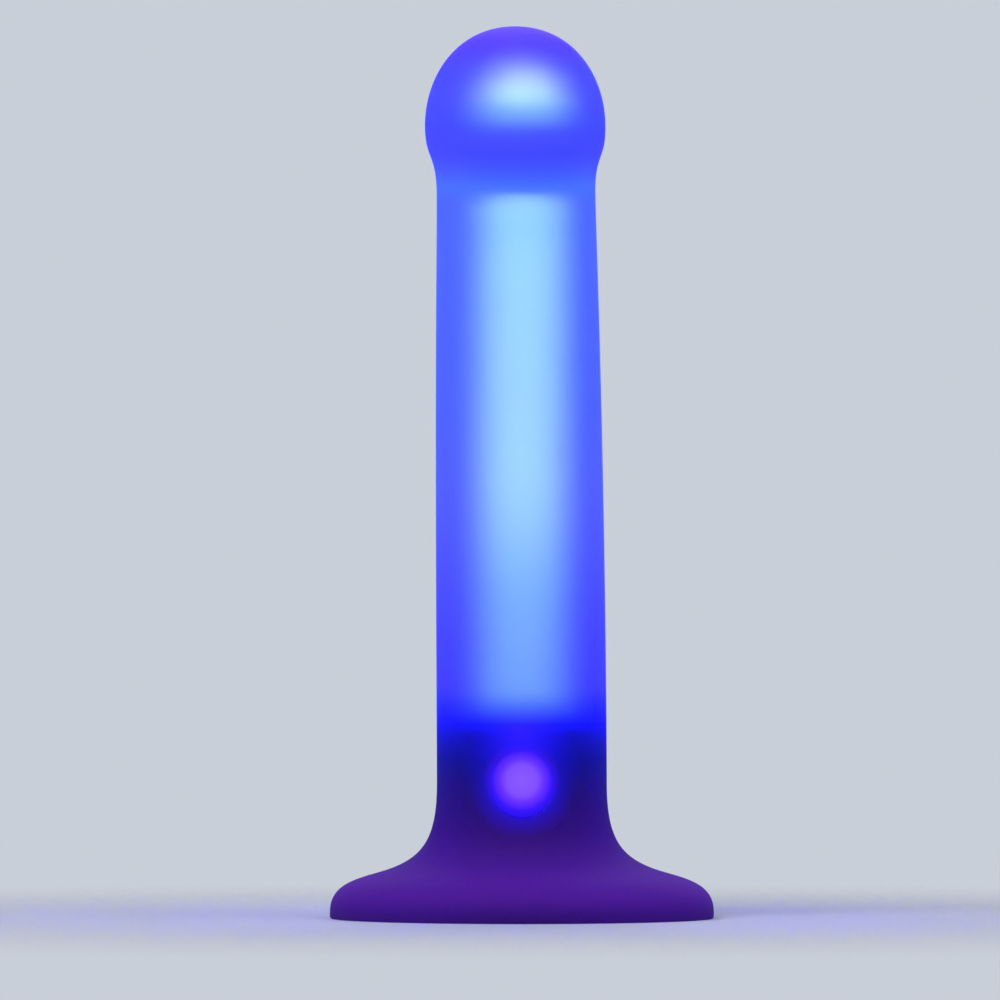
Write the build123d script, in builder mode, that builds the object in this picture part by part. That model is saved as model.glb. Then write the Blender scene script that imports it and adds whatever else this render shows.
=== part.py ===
"""Light-up silicone massager: a soft translucent sleeve over a hard, lit core.

Frame: millimetres, +Z up, origin at the centre of the underside, the front (the button side) faces -Y.
The core is a two-shell control housing in the foot, a frosted light column above it, a motor pod in the neck
and a frosted lens in the head. Sizes run from the inside out: the bought-in parts set the hard parts,
and the sleeve's walls are laid over those.
"""

from build123d import *
import math
import os

# ---------------------------------------------------------------- driving dimensions, mm
total_height = 200.0
base_radius = 43.0

# sleeve walls and outline
root_wall = 5.0  # silicone over the control housing, which sets the shaft's thickness at its root
neck_wall = 5.9  # silicone over the motor pod, which sets the neck
head_overhang = 2.45  # head radius beyond the neck radius
crown_wall = 9.5  # silicone above the head lens
head_height = 22.4  # from the head's widest ring to the top
neck_drop = 15.0  # from the head's widest ring down to the neck
flare_height = 30.5  # where the straight shaft starts to flare
flange_height = 11.0  # height of the flare's turning point above the floor
flange_run = 13.0  # radial length of the flange outside the turning point
flange_slope = 0.35  # fall of the flange per millimetre of radius
rim_height = 1.5  # upright band at the edge of the base
edge_bevel = 0.5

# clearances
mould_gap = 0.1  # sleeve to core
slip_gap = 0.1  # parts that slide together
air_gap = 0.5  # parts that only pass each other
pilot_gap = 0.02  # pins and screw shanks in their holes
touch_gap = 0.05  # parts that all but touch

# bought-in parts
cell_radius = 7.0
cell_length = 25.0
tab_thickness = 0.2
foam_thickness = 1.4
board_width = 20.0
board_length = 28.5
board_thickness = 1.2
magnet_radius = 2.0
magnet_height = 2.0
tact_size = 6.0
tact_height = 3.5
actuator_radius = 1.75
actuator_height = 1.2
motor_radius = 5.0
motor_can_length = 10.0
end_cap_length = 1.4
terminal_length = 0.9
bush_radius = 1.6
bush_length = 0.8
shaft_radius = 0.6
weight_radius = 4.8
weight_length = 4.0
wire_radius = 0.6
socket_size = 3.0
socket_height = 5.0

# control housing
housing_wall = 1.6
lead_gap = 2.4  # between cell and control board
front_room = 6.7  # from the control board's front to the housing's inner wall
lead_room = 1.5  # for the leads below the cell and above its foam pad
board_headroom = 0.4  # from the control board's top to the housing's lip
shoulder_height = 3.3
lip_height = 1.0
boss_height = 4.0

# base cap
cap_recess = 0.6  # cap face above the floor
cap_thickness = 2.4
cap_overlap = 1.9  # cap beyond the housing, which holds the sleeve's lip
cap_rim_height = 1.6
cap_rim_wall = 1.2
seal_gap = 0.5
seal_section = 0.55  # radius of the seal ring's section
contact_pitch = 6.0
contact_radius = 1.4
contact_height = 2.0

# light column
tube_least_radius = 10.0  # grows if the motor and the wire past it need the room
tube_wall = 1.4
foot_thickness = 1.5
foot_reach = 1.4
strip_width = 10.0
strip_thickness = 1.0
led_pitch = 11.0
holder_height = 3.0
strip_end_room = 0.9  # between the strip's top and the tube's
socket_drop = 8.6  # of the wire sockets below the strip's top

# motor pod and head lens
pod_floor = 2.25
pod_roof = 2.25
pod_wall = 1.05
spigot_height = 2.8
pod_screw_wall = 2.0  # between the motor's chamber and a pod screw's head
head_wire_offset = 1.8  # the head wire's line beyond the motor's side
head_wire_room = 0.35  # between the head wire and the light tube's bore
lens_radius = 11.0
lens_height = 13.3
lens_wall = 1.4
lens_ring_height = 1.2
head_board_radius = 6.5
head_board_thickness = 1.0

# button
button_drop = 6.8  # below the top edge of the control board
button_radius = 4.4
membrane = 1.6  # silicone in front of the turret
pad_rise = 0.6
turret_wall = 2.2
flange_thickness = 1.6
flange_step = 0.6  # plunger flange beyond the button bore
bore_step = 0.4  # button bore beyond the button
pad_gap = 0.15  # between the plunger and the silicone in front of it
lip_depth = 1.85
stem_radius = 1.7

# screws
screw_radius = 0.8
screw_head_radius = 1.55
screw_head_height = 0.9
screw_seat = 1.1  # depth of a head below the face it goes in from
screw_end_room = 0.6
boss_radius = 2.25
side_seat_y = 5.0
side_screw_reach = 8.4
side_screw_inset = 2.0  # a side screw's line inside the housing's bore
side_screw_rise = 10.5  # the lower side screws, above the housing's bottom
side_screw_drop = 3.0  # the upper side screws, below the cell's top

# ---------------------------------------------------------------- sizes that follow from them
# housing, set by the stack of cell, leads, board and button across it
core_stack = 2 * cell_radius + air_gap + lead_gap + board_thickness
board_half = board_width / 2 + air_gap
bore_radius = max((core_stack + front_room) / 2, (board_half**2 + core_stack**2) / (2 * core_stack))
housing_radius = bore_radius + housing_wall
cap_radius = housing_radius + cap_overlap
cell_y = bore_radius - air_gap - cell_radius
board_back_y = cell_y - cell_radius - lead_gap
board_front_y = board_back_y - board_thickness

cap_top = cap_recess + cap_thickness
housing_bottom = cap_top + seal_gap
boss_top = housing_bottom + boss_height
cell_bottom = boss_top + lead_room
cell_top = cell_bottom + cell_length
foam_top = cell_top + tab_thickness + foam_thickness
board_bottom = cell_bottom - 2 * tab_thickness
board_top = max(board_bottom + board_length, foam_top + lead_room)
lip_bottom = board_top + board_headroom
tube_bottom = lip_bottom + lip_height + slip_gap
housing_top = tube_bottom + foot_thickness + slip_gap + shoulder_height
button_height = board_top - button_drop

# head and neck, hung from the top
lens_top = total_height - crown_wall
lens_bore = lens_radius - lens_wall
pod_top = lens_top - lens_height
pod_axis_z = pod_top - pod_roof - motor_radius - slip_gap
pod_bottom = pod_axis_z - motor_radius - slip_gap - pod_floor
spigot_bottom = pod_bottom - spigot_height
tube_top = pod_bottom - slip_gap

motor_length = terminal_length + end_cap_length + motor_can_length + bush_length + air_gap + weight_length
terminal_x = -motor_length / 2
end_cap_x = terminal_x + terminal_length
can_x = end_cap_x + end_cap_length
bush_x = can_x + motor_can_length
weight_x = bush_x + bush_length + air_gap
chamber_x = terminal_x - air_gap
chamber_end = motor_length / 2 + air_gap
chamber_radius = max(weight_radius, motor_radius) + air_gap
pod_radius = math.hypot(chamber_end, chamber_radius) + pod_wall
pod_screw_y = motor_radius + screw_head_radius + pod_screw_wall
pod_screw_length = pod_top - screw_seat - pod_bottom - 2 * screw_end_room

# light strip, its sockets and the wires that rise from them
strip_bottom = foam_top + 0.3
strip_top = tube_top - strip_end_room
socket_top = strip_top - socket_drop
socket_x = strip_width / 2 - socket_size / 2 - 0.1
wire_y = strip_thickness / 2 + 1.4  # where a wire leaves its socket
motor_wire_x = terminal_x + 0.2
motor_wire_y = 2.4
terminal_z = -0.44 * motor_radius  # a terminal's centre, from the motor's axis
terminal_size = 2.4
head_wire_y = motor_radius + head_wire_offset
tube_bore = max(
    tube_least_radius - tube_wall,
    math.hypot(socket_x, head_wire_y) + wire_radius + head_wire_room,
)
tube_radius = tube_bore + tube_wall

# outline
root_radius = housing_radius + root_wall
neck_radius = max(pod_radius, lens_radius) + neck_wall
head_radius = neck_radius + head_overhang
head_z = total_height - head_height
neck_z = head_z - neck_drop

# button train, as distances in front of the body's axis
turret_bore = button_radius + bore_step
turret_radius = turret_bore + turret_wall
turret_face = root_radius - membrane
flange_radius = turret_bore + flange_step
flange_front = turret_face - lip_depth - slip_gap
plunger_face = turret_face - pad_gap
board_face = -board_front_y
tact_face = board_face + tact_height
plunger_back = tact_face + actuator_height + touch_gap

# screw places
cap_ring = bore_radius - boss_radius + 0.15
cap_seat = cap_recess + screw_seat
cap_screw_length = boss_top - screw_end_room - cap_seat
side_x = bore_radius - side_screw_inset
side_heights = (housing_bottom + side_screw_rise, cell_top - side_screw_drop)
side_places = [(x, z) for x in (-side_x, side_x) for z in side_heights]

os.makedirs("parts", exist_ok=True)


def save(part, name):
    """Labels a finished piece and writes it as its own STEP file."""
    part.label = name
    export_step(part, f"parts/{name}.step")


def dome(radius, base, height, rise=0.5523, spread=0.5523):
    """Control points of a quarter dome, from its top on the axis down to its rim."""
    peak = base + height
    return [(0, peak), (spread * radius, peak), (radius, base + rise * height), (radius, base)]


def button_plane(depth):
    """A plane square to the button's line, at this distance in front of the body's axis."""
    return Plane(origin=(0, -depth, button_height), x_dir=(1, 0, 0), z_dir=(0, -1, 0))


def side_plane(x, y, z):
    """A plane square to a housing screw, facing the rear."""
    return Plane(origin=(x, y, z), x_dir=(1, 0, 0), z_dir=(0, 1, 0))


def motor_plane(x):
    """A plane square to the motor's shaft, facing +X."""
    return Plane(origin=(x, 0, pod_axis_z), x_dir=(0, 1, 0), z_dir=(1, 0, 0))


def four_corners():
    """The four cap screws, on a circle about the body's axis."""
    return PolarLocations(cap_ring, 4, start_angle=45)


# ---------------------------------------------------------------- sleeve, one moulding of soft silicone
def make_sleeve():
    cap_room = cap_radius + mould_gap
    housing_room = housing_radius + mould_gap
    tube_room = tube_radius + mould_gap
    pod_room = pod_radius + mould_gap
    lens_room = lens_radius + mould_gap
    turn = base_radius - flange_run
    easing = 0.42 * flange_run
    knee = root_radius + 3
    with BuildPart() as sleeve:
        with BuildSketch(Plane.XZ):
            with BuildLine():
                Bezier(*dome(head_radius, head_z, head_height, rise=0.5, spread=0.65))
                Bezier(
                    (head_radius, head_z),
                    (head_radius, head_z - 0.5 * neck_drop),
                    (neck_radius, neck_z + 0.6 * neck_drop),
                    (neck_radius, neck_z),
                )
                Bezier(
                    (neck_radius, neck_z),
                    (neck_radius, neck_z - 8),
                    (root_radius, flare_height + 0.64 * (neck_z - flare_height)),
                    (root_radius, flare_height),
                )
                Bezier(
                    (root_radius, flare_height),
                    (root_radius, 0.59 * flare_height),
                    (knee, flange_height + flange_slope * (turn - knee)),
                    (turn, flange_height),
                )
                Bezier(
                    (turn, flange_height),
                    (turn + easing, flange_height - flange_slope * easing),
                    (base_radius, 0.77 * flange_height),
                    (base_radius, rim_height),
                )
                Polyline(
                    (base_radius, rim_height),
                    (base_radius, edge_bevel),
                    (base_radius - edge_bevel, 0),
                    (cap_room, 0),
                    (cap_room, cap_top + mould_gap),
                    (housing_room, cap_top + mould_gap),
                    (housing_room, housing_top + mould_gap),
                    (tube_room, housing_top + mould_gap),
                    (tube_room, pod_bottom - mould_gap),
                    (pod_room, pod_bottom - mould_gap),
                    (pod_room, pod_top + mould_gap),
                    (lens_room, pod_top + mould_gap),
                )
                Bezier(*reversed(dome(lens_room, pod_top + mould_gap, lens_height)))
                Line((0, lens_top + mould_gap), (0, total_height))
            make_face()
        revolve(axis=Axis.Z)
        with BuildSketch(button_plane(0)):
            Circle(turret_radius + mould_gap)
        extrude(amount=turret_face + mould_gap, mode=Mode.SUBTRACT)
        with BuildSketch(button_plane(0)):
            Circle(button_radius + 0.35)
        extrude(amount=root_radius + 2, mode=Mode.SUBTRACT)
    save(sleeve.part, "sleeve")


# ---------------------------------------------------------------- button: soft pad, plunger, tact switch
def make_button_pad():
    """The raised spot of silicone over the button, a shallow dome whose rim meets the shaft's round front."""
    pad_radius = button_radius + 0.2
    rim = math.sqrt(root_radius**2 - pad_radius**2)
    crest = root_radius + pad_rise
    rise = crest - rim
    dome_radius = (pad_radius**2 + rise**2) / (2 * rise)
    half = pad_radius / 2
    shoulder = crest - dome_radius + math.sqrt(dome_radius**2 - half**2)
    with BuildPart() as pad:
        with BuildSketch(Plane(origin=(0, 0, button_height), x_dir=(1, 0, 0), z_dir=(0, 0, -1))):
            with BuildLine():
                Polyline((0, crest), (0, turret_face), (pad_radius, turret_face), (pad_radius, rim))
                ThreePointArc((pad_radius, rim), (half, shoulder), (0, crest))
            make_face()
        revolve(axis=Axis((0, 0, button_height), (0, -1, 0)))
    save(pad.part, "button_pad")


def make_button_plunger():
    with BuildPart() as plunger:
        with BuildSketch(button_plane(plunger_back)):
            Circle(stem_radius)
        extrude(amount=plunger_face - plunger_back)
        with BuildSketch(button_plane(flange_front - flange_thickness)):
            Circle(flange_radius - slip_gap)
        extrude(amount=flange_thickness)
        with BuildSketch(button_plane(flange_front)):
            Circle(button_radius)
        extrude(amount=plunger_face - flange_front)
        fillet(plunger.edges().filter_by(GeomType.CIRCLE).sort_by(Axis.Y)[0], 0.4)
    save(plunger.part, "button_plunger")


def make_tact_switch():
    cover_thickness = 0.3
    with BuildPart() as switch_body:
        with BuildSketch(button_plane(board_face)):
            Rectangle(tact_size, tact_size)
        extrude(amount=tact_height - cover_thickness)
        chamfer(switch_body.edges().filter_by(Axis.Y), 0.4)
        with BuildSketch(button_plane(tact_face - cover_thickness)):
            Rectangle(tact_size - 0.3, tact_size - 0.3)
            with GridLocations(tact_size - 1.6, tact_size - 1.6, 2, 2):
                Circle(0.4, mode=Mode.SUBTRACT)
        extrude(amount=cover_thickness)
        with BuildSketch(button_plane(tact_face - 2.0)):
            Circle(actuator_radius + slip_gap)
        extrude(amount=2.0, mode=Mode.SUBTRACT)
    save(switch_body.part, "tact_switch_body")

    with BuildPart() as actuator:
        with BuildSketch(button_plane(tact_face - 1.3)):
            Circle(actuator_radius)
        extrude(amount=1.3 + actuator_height)
        chamfer(actuator.edges().filter_by(GeomType.CIRCLE).sort_by(Axis.Y)[0], 0.2)
    save(actuator.part, "tact_switch_actuator")


# ---------------------------------------------------------------- control housing, two ABS shells
def housing_barrel():
    """The closed barrel that both shells are cut from, with the turret and the screw posts."""
    groove = tube_radius + foot_reach + air_gap
    with BuildPart() as barrel:
        with BuildSketch(Plane.XZ):
            with BuildLine():
                Polyline(
                    (bore_radius, housing_bottom),
                    (housing_radius, housing_bottom),
                    (housing_radius, housing_top),
                    (tube_radius + slip_gap, housing_top),
                    (tube_radius + slip_gap, housing_top - shoulder_height),
                    (groove, housing_top - shoulder_height),
                    (groove, tube_bottom - slip_gap),
                    (tube_radius + 0.6, tube_bottom - slip_gap),
                    (tube_radius + 0.6, lip_bottom),
                    (bore_radius, lip_bottom),
                    close=True,
                )
            make_face()
        revolve(axis=Axis.Z)
        with BuildSketch(Plane.XY.offset(housing_bottom)):
            with four_corners():
                Circle(boss_radius)
        extrude(amount=boss_height)
        for x, z in side_places:
            with BuildSketch(side_plane(x, board_back_y + air_gap, z)):
                Circle(boss_radius)
            extrude(amount=bore_radius)
        with BuildSketch(button_plane(bore_radius - 1.2)):
            Circle(turret_radius)
        extrude(amount=turret_face - bore_radius + 1.2)
        with BuildSketch(Plane.XY):
            Circle(2 * housing_radius)
            Circle(housing_radius, mode=Mode.SUBTRACT)
            with Locations((0, -0.5 * housing_radius)):
                Rectangle(
                    2 * turret_radius + 2,
                    2 * housing_radius,
                    align=(Align.CENTER, Align.MAX),
                    mode=Mode.SUBTRACT,
                )
        extrude(amount=housing_top + 1, mode=Mode.SUBTRACT)
        with BuildSketch(button_plane(bore_radius - 3)):
            Circle(flange_radius)
        extrude(amount=turret_face - lip_depth - bore_radius + 3, mode=Mode.SUBTRACT)
        with BuildSketch(button_plane(bore_radius)):
            Circle(turret_bore)
        extrude(amount=turret_face, mode=Mode.SUBTRACT)
        with BuildSketch(Plane.XY.offset(housing_bottom)):
            with four_corners():
                Circle(screw_radius + pilot_gap)
        extrude(amount=boss_height - screw_end_room / 2, mode=Mode.SUBTRACT)
        for x, z in side_places:
            with BuildSketch(side_plane(x, side_seat_y, z)):
                Circle(screw_head_radius + slip_gap)
            extrude(amount=housing_radius, mode=Mode.SUBTRACT)
            with BuildSketch(side_plane(x, side_seat_y, z)):
                Circle(screw_radius + pilot_gap)
            extrude(amount=-side_screw_reach, mode=Mode.SUBTRACT)
    return barrel.part


def make_housing():
    barrel = housing_barrel()
    shelf_bottom = boss_top - 0.1
    with BuildPart() as front_shell:
        add(barrel)
        split(bisect_by=Plane.XZ, keep=Keep.TOP)
        with BuildSketch(Plane.XY.offset(shelf_bottom)):
            Circle(bore_radius + 0.3)
            Rectangle(board_width - 6, 4 * bore_radius, mode=Mode.SUBTRACT)
            with Locations((0, board_back_y + 0.3)):
                Rectangle(
                    4 * bore_radius,
                    4 * bore_radius,
                    align=(Align.CENTER, Align.MIN),
                    mode=Mode.SUBTRACT,
                )
        extrude(amount=board_bottom - touch_gap - shelf_bottom)
    save(front_shell.part, "housing_front")

    with BuildPart() as rear_shell:
        add(barrel)
        split(bisect_by=Plane.XZ, keep=Keep.BOTTOM)
        with BuildSketch(Plane.XY.offset(shelf_bottom)):
            Circle(bore_radius + 0.3)
            Rectangle(
                4 * bore_radius,
                4 * bore_radius,
                align=(Align.CENTER, Align.MAX),
                mode=Mode.SUBTRACT,
            )
            with Locations((0, cell_y - 3)):
                Rectangle(9, 8, mode=Mode.SUBTRACT)
        extrude(amount=cell_bottom - tab_thickness - touch_gap - shelf_bottom)
    save(rear_shell.part, "housing_rear")


# ---------------------------------------------------------------- pan-head self-tapping screws
def pan_screw(length):
    """One screw, its seat at the origin, its shank down -Z, with a cross recess in its head."""
    with BuildPart() as one:
        with BuildSketch(Plane.XY):
            Circle(screw_head_radius)
        extrude(amount=screw_head_height)
        fillet(one.edges().sort_by(Axis.Z)[-1], 0.35)
        with BuildSketch(Plane.XY.offset(screw_head_height)):
            Rectangle(1.8, 0.4)
            Rectangle(0.4, 1.8)
        extrude(amount=-0.5, mode=Mode.SUBTRACT)
        with BuildSketch(Plane.XY):
            Circle(screw_radius)
        extrude(amount=-length)
        chamfer(one.edges().sort_by(Axis.Z)[0], 0.55)
    return one.part


def make_screws():
    corner = pan_screw(cap_screw_length)
    with BuildPart(Plane(origin=(0, 0, cap_seat), x_dir=(1, 0, 0), z_dir=(0, 0, -1))) as cap_screws:
        with four_corners():
            add(corner)
    save(cap_screws.part, "cap_screws")

    side = pan_screw(side_screw_reach - 0.3)
    with BuildPart() as housing_screws:
        with Locations(*[side_plane(x, side_seat_y, z) for x, z in side_places]):
            add(side)
    save(housing_screws.part, "housing_screws")

    tall = pan_screw(pod_screw_length)
    with BuildPart() as pod_screws:
        with Locations((0, -pod_screw_y, pod_top - screw_seat), (0, pod_screw_y, pod_top - screw_seat)):
            add(tall)
    save(pod_screws.part, "pod_screws")


# ---------------------------------------------------------------- base cap with charging contacts and magnets
def make_base_cap():
    magnet_x = contact_pitch / 2 + contact_radius + magnet_radius + 1.8
    seal_ring = (bore_radius + housing_radius) / 2
    with BuildPart() as cap:
        with BuildSketch(Plane.XY.offset(cap_recess)):
            Circle(cap_radius)
        extrude(amount=cap_thickness)
        fillet(cap.edges().sort_by(Axis.Z)[0], 0.4)
        with BuildSketch(Plane.XY.offset(cap_top)):
            Circle(bore_radius - slip_gap)
            Circle(bore_radius - slip_gap - cap_rim_wall, mode=Mode.SUBTRACT)
            with four_corners():
                Circle(boss_radius + 0.3, mode=Mode.SUBTRACT)
        extrude(amount=cap_rim_height)
        with BuildSketch(Plane.XY.offset(cap_top)):
            Circle(seal_ring + seal_section)
            Circle(seal_ring - seal_section, mode=Mode.SUBTRACT)
        extrude(amount=seal_gap - 2 * seal_section, mode=Mode.SUBTRACT)
        with BuildSketch(Plane.XY.offset(cap_recess)):
            with four_corners():
                Circle(screw_head_radius + slip_gap)
        extrude(amount=screw_seat, mode=Mode.SUBTRACT)
        with BuildSketch(Plane.XY.offset(cap_recess)):
            with four_corners():
                Circle(screw_radius + slip_gap)
            with GridLocations(contact_pitch, 0, 2, 1):
                Circle(contact_radius + pilot_gap)
        extrude(amount=cap_thickness, mode=Mode.SUBTRACT)
        with BuildSketch(Plane.XY.offset(cap_top)):
            with GridLocations(2 * magnet_x, 0, 2, 1):
                Circle(magnet_radius + pilot_gap)
        extrude(amount=-magnet_height, mode=Mode.SUBTRACT)
    save(cap.part, "base_cap")

    with BuildPart() as seal:
        with BuildSketch(Plane.XZ):
            with Locations((seal_ring, housing_bottom - seal_section)):
                Circle(seal_section - pilot_gap)
        revolve(axis=Axis.Z)
    save(seal.part, "base_seal")

    with BuildPart() as contacts:
        with BuildSketch(Plane.XY.offset(cap_recess)):
            with GridLocations(contact_pitch, 0, 2, 1):
                Circle(contact_radius)
        extrude(amount=cap_thickness)
        with BuildSketch(Plane.XY.offset(cap_top)):
            with GridLocations(contact_pitch, 0, 2, 1):
                Circle(contact_radius + 0.5)
        extrude(amount=0.5)
        with BuildSketch(Plane.XY.offset(cap_top)):
            with GridLocations(contact_pitch, 0, 2, 1):
                Circle(contact_radius / 2)
        extrude(amount=contact_height)
    save(contacts.part, "charge_contacts")

    with BuildPart() as magnets:
        with BuildSketch(Plane.XY.offset(cap_top)):
            with GridLocations(2 * magnet_x, 0, 2, 1):
                Circle(magnet_radius)
        extrude(amount=-magnet_height)
    save(magnets.part, "dock_magnets")


# ---------------------------------------------------------------- power: cell, tabs, foam, charging springs
def make_power():
    nub_height = 0.6
    with BuildPart() as cell:
        with BuildSketch(Plane.XY.offset(cell_bottom)):
            with Locations((0, cell_y)):
                Circle(cell_radius)
        extrude(amount=cell_length - nub_height)
        fillet(cell.edges().filter_by(GeomType.CIRCLE), 0.5)
        with BuildSketch(Plane.XY.offset(cell_top - nub_height)):
            with Locations((0, cell_y)):
                Circle(0.3 * cell_radius)
        extrude(amount=nub_height)
    save(cell.part, "battery_cell")

    tab_end = cell_y + 2
    with BuildPart() as tabs:
        for z in (cell_bottom - tab_thickness, cell_top):
            with BuildSketch(Plane.XY.offset(z)):
                with Locations((0, board_back_y)):
                    Rectangle(4, tab_end - board_back_y, align=(Align.CENTER, Align.MIN))
            extrude(amount=tab_thickness)
    save(tabs.part, "cell_tabs")

    with BuildPart() as foam:
        with BuildSketch(Plane.XY.offset(cell_top + tab_thickness)):
            with Locations((0, cell_y)):
                Circle(cell_radius - 1)
        extrude(amount=foam_thickness)
    save(foam.part, "cell_foam_pad")

    spring_z = cap_top + contact_height
    spring_width = 1.6
    with BuildPart() as springs:
        with BuildSketch(Plane.XY.offset(spring_z)):
            with Locations((-contact_pitch / 2, board_back_y), (contact_pitch / 2, board_back_y)):
                Rectangle(spring_width, 0.9 - board_back_y, align=(Align.CENTER, Align.MIN))
        extrude(amount=tab_thickness)
        with BuildSketch(Plane.XY.offset(spring_z)):
            with Locations((-contact_pitch / 2, board_back_y), (contact_pitch / 2, board_back_y)):
                Rectangle(spring_width, tab_thickness, align=(Align.CENTER, Align.MIN))
        extrude(amount=board_bottom + 2.4 - spring_z)
    save(springs.part, "charge_springs")


# ---------------------------------------------------------------- control board and what is soldered to it
def chip_plane(x, z):
    """A plane on the front of the control board, its centre at this place."""
    return Plane(origin=(x, board_front_y, z), x_dir=(1, 0, 0), z_dir=(0, -1, 0))


def make_control_board():
    with BuildPart() as board:
        with BuildSketch(Plane(origin=(0, board_back_y, board_bottom), x_dir=(1, 0, 0), z_dir=(0, -1, 0))):
            Rectangle(board_width, board_top - board_bottom, align=(Align.CENTER, Align.MIN))
        extrude(amount=board_thickness)
        chamfer(board.edges().filter_by(Axis.Y), 0.8)
    save(board.part, "control_board")

    side = 0.31 * board_width
    with BuildPart() as chips:
        with BuildSketch(chip_plane(0, board_bottom + 8.0)):
            Rectangle(5, 5)
        extrude(amount=0.9)
        with BuildSketch(chip_plane(-side, board_bottom + 5.0)):
            Rectangle(3.9, 4.9)
        extrude(amount=1.4)
        with BuildSketch(chip_plane(side, board_bottom + 5.0)):
            Rectangle(3, 3)
        extrude(amount=1.1)
    save(chips.part, "control_chips")

    with BuildPart() as passives:
        for row in (1.4, 12.6):
            with BuildSketch(chip_plane(0, board_bottom + row)):
                with GridLocations(0.18 * board_width, 0, 5, 1):
                    Rectangle(1.6, 0.8)
            extrude(amount=0.6)
        with BuildSketch(chip_plane(side, board_bottom + 9.6)):
            with GridLocations(0, 2.0, 1, 2):
                Rectangle(2.0, 1.25)
        extrude(amount=0.9)
    save(passives.part, "control_passives")

    with BuildPart() as glow_leds:
        with BuildSketch(chip_plane(0, button_height)):
            with PolarLocations(tact_size / 2 + 1.4, 4):
                Rectangle(1.6, 1.6)
        extrude(amount=0.7)
    save(glow_leds.part, "button_leds")

    with BuildPart() as pins:
        with BuildSketch(side_plane(0, -strip_thickness / 2, board_top - 0.6)):
            with GridLocations(2.5, 0, 4, 1):
                Rectangle(0.6, 0.6)
        extrude(amount=board_back_y + strip_thickness / 2)
    save(pins.part, "link_pins")


# ---------------------------------------------------------------- light column
def make_column():
    with BuildPart() as tube:
        with BuildSketch(Plane.XY.offset(tube_bottom)):
            Circle(tube_radius)
        extrude(amount=tube_top - tube_bottom)
        with BuildSketch(Plane.XY.offset(tube_bottom)):
            Circle(tube_radius + foot_reach)
        extrude(amount=foot_thickness)
        with BuildSketch(Plane.XY.offset(tube_bottom)):
            Circle(tube_bore)
        extrude(amount=tube_top - tube_bottom, mode=Mode.SUBTRACT)
    save(tube.part, "light_tube")

    with BuildPart() as strip:
        with BuildSketch(Plane.XY.offset(strip_bottom)):
            Rectangle(strip_width, strip_thickness)
        extrude(amount=strip_top - strip_bottom)
    save(strip.part, "led_strip_board")

    first = housing_top + 3
    last = socket_top - socket_height - 3
    count = int((last - first) / led_pitch) + 1
    with BuildPart() as leds:
        for n in range(count):
            for turn in (1, -1):
                z = first + n * led_pitch
                with BuildSketch(Plane(origin=(0, 0, z), x_dir=(1, 0, 0), z_dir=(0, turn, 0))):
                    Rectangle(2.8, 3.5)
                extrude(amount=strip_thickness / 2 + 0.8)
        with BuildSketch(Plane.XY):
            Rectangle(strip_width, strip_thickness)
        extrude(amount=tube_top, mode=Mode.SUBTRACT)
    save(leds.part, "column_leds")

    with BuildPart() as holder:
        with BuildSketch(Plane.XY.offset(tube_bottom + 0.4)):
            Circle(tube_bore - slip_gap)
            Rectangle(strip_width + 2 * slip_gap, strip_thickness + 2 * slip_gap, mode=Mode.SUBTRACT)
        extrude(amount=holder_height)
    save(holder.part, "strip_holder")

    with BuildPart() as sockets:
        with BuildSketch(Plane.XY.offset(socket_top)):
            with Locations((-socket_x, -strip_thickness / 2)):
                Rectangle(socket_size, 2.8, align=(Align.CENTER, Align.MAX))
            with Locations((-socket_x, strip_thickness / 2), (socket_x, strip_thickness / 2)):
                Rectangle(socket_size, 2.8, align=(Align.CENTER, Align.MIN))
        extrude(amount=-socket_height)
    save(sockets.part, "wire_sockets")


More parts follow.
